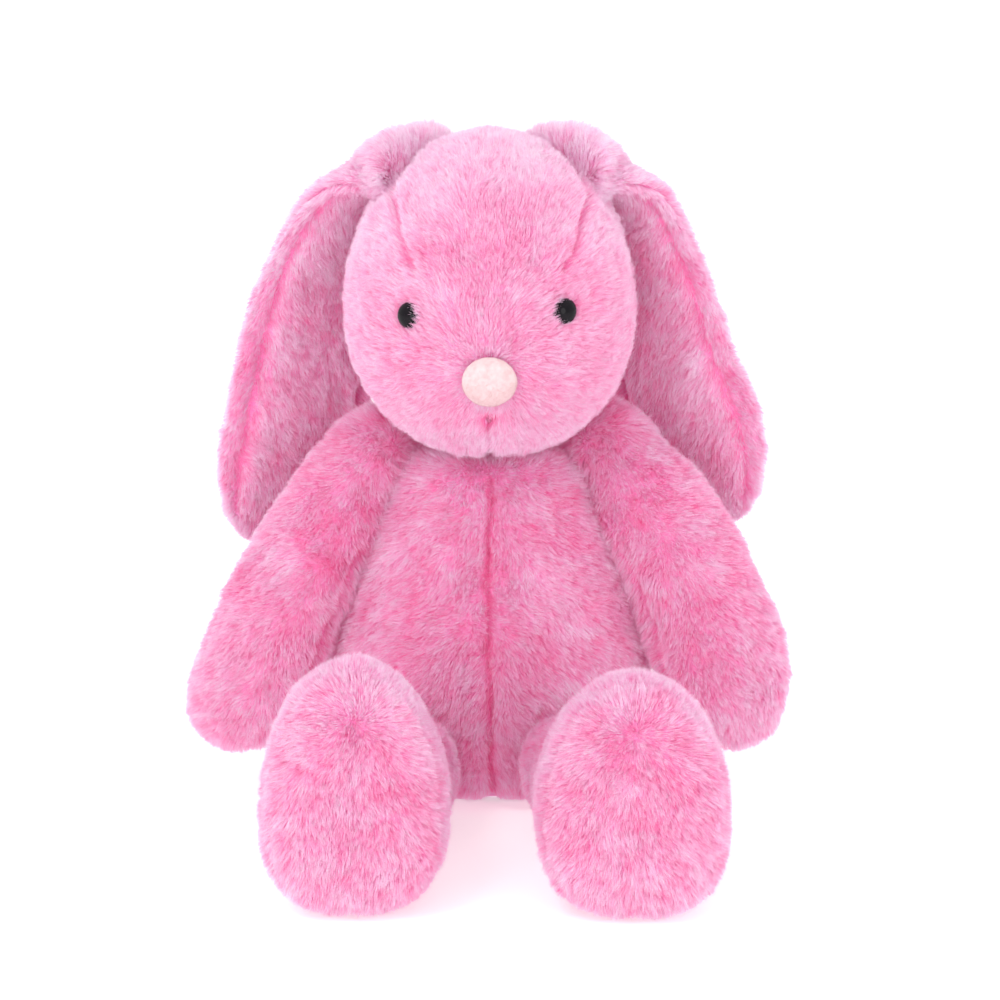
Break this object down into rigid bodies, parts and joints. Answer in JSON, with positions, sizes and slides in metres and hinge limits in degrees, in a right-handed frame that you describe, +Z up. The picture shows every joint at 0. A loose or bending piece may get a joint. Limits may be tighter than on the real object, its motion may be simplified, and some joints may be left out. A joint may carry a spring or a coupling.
{
  "type": "stuffed bunny",
  "caption": "Sitting plush bunny in long soft pink fur, with long drooping lined ears, plump sewn arms, upright oval feet, a small padded cream nose and shiny dark eyes.",
  "frame": {"origin": "centre of the flat seat panel, on the surface the toy sits on", "axes": "+Z up; -Y out of the face and belly, towards the soles; +X towards the toy's own left"},
  "size_m": [0.2219, 0.2411, 0.2491],
  "materials": {
    "pink_fur": "long soft pile fur",
    "velour_cream": "short velour pile",
    "eye_gloss": "polished",
    "washer_plastic": "moulded",
    "polyester_fill": "loose fibre",
    "pouch_cloth": "plain weave",
    "pellets": "moulded beads",
    "thread": "twisted thread"
  },
  "bodies": {
    "torso": {"torso_front_left": "pink_fur", "torso_front_right": "pink_fur", "torso_back_left": "pink_fur", "torso_back_right": "pink_fur", "seat_panel": "pink_fur", "torso_stuffing": "polyester_fill", "pellet_pouch": "pouch_cloth", "pellet_fill": "pellets", "neck_stitch": "thread", "tail_cover": "pink_fur", "tail_stuffing": "polyester_fill"},
    "head": {"head_gusset": "pink_fur", "face_left": "pink_fur", "face_right": "pink_fur", "head_stuffing": "polyester_fill", "nose_pad": "velour_cream", "mouth_stitch": "thread", "eye_left": "eye_gloss", "eye_right": "eye_gloss", "eye_washer_left": "washer_plastic", "eye_washer_right": "washer_plastic"},
    "ear_left": {"ear_back_left": "pink_fur", "ear_front_left": "pink_fur"},
    "ear_right": {"ear_back_right": "pink_fur", "ear_front_right": "pink_fur"},
    "arm_left": {"arm_outer_left": "pink_fur", "arm_inner_left": "pink_fur", "arm_stuffing_left": "polyester_fill"},
    "arm_right": {"arm_outer_right": "pink_fur", "arm_inner_right": "pink_fur", "arm_stuffing_right": "polyester_fill"},
    "leg_left": {"leg_outer_left": "pink_fur", "leg_inner_left": "pink_fur", "sole_left": "pink_fur", "leg_stuffing_left": "polyester_fill"},
    "leg_right": {"leg_outer_right": "pink_fur", "leg_inner_right": "pink_fur", "sole_right": "pink_fur", "leg_stuffing_right": "polyester_fill"}
  },
  "joints": [
    {"name": "head_nod", "type": "hinge", "parent": "torso", "child": "head", "pos_m": [0, 0, 0.127], "axis": [1, 0, 0], "range_deg": [-5, 12], "stiffness_Nm_per_rad": 0.8},
    {"name": "ear_left_lift", "type": "hinge", "parent": "head", "child": "ear_left", "pos_m": [0.027, 0, 0.24], "axis": [0.5978, -0.6577, -0.4584], "range_deg": [0, 60]},
    {"name": "ear_right_lift", "type": "hinge", "parent": "head", "child": "ear_right", "pos_m": [-0.027, 0, 0.24], "axis": [0.5978, 0.6577, 0.4584], "range_deg": [0, 60]},
    {"name": "arm_left_swing", "type": "hinge", "parent": "torso", "child": "arm_left", "pos_m": [0.041, 0.002, 0.124], "axis": [-1, 0, 0], "range_deg": [0, 50]},
    {"name": "arm_right_swing", "type": "hinge", "parent": "torso", "child": "arm_right", "pos_m": [-0.041, 0.002, 0.124], "axis": [-1, 0, 0], "range_deg": [0, 50]},
    {"name": "leg_left_lift", "type": "hinge", "parent": "torso", "child": "leg_left", "pos_m": [0.031, -0.051, 0.036], "axis": [-1, 0, 0], "range_deg": [-15, 35], "stiffness_Nm_per_rad": 0.5},
    {"name": "leg_right_lift", "type": "hinge", "parent": "torso", "child": "leg_right", "pos_m": [-0.031, -0.051, 0.036], "axis": [-1, 0, 0], "range_deg": [-15, 35], "stiffness_Nm_per_rad": 0.5}
  ]
}
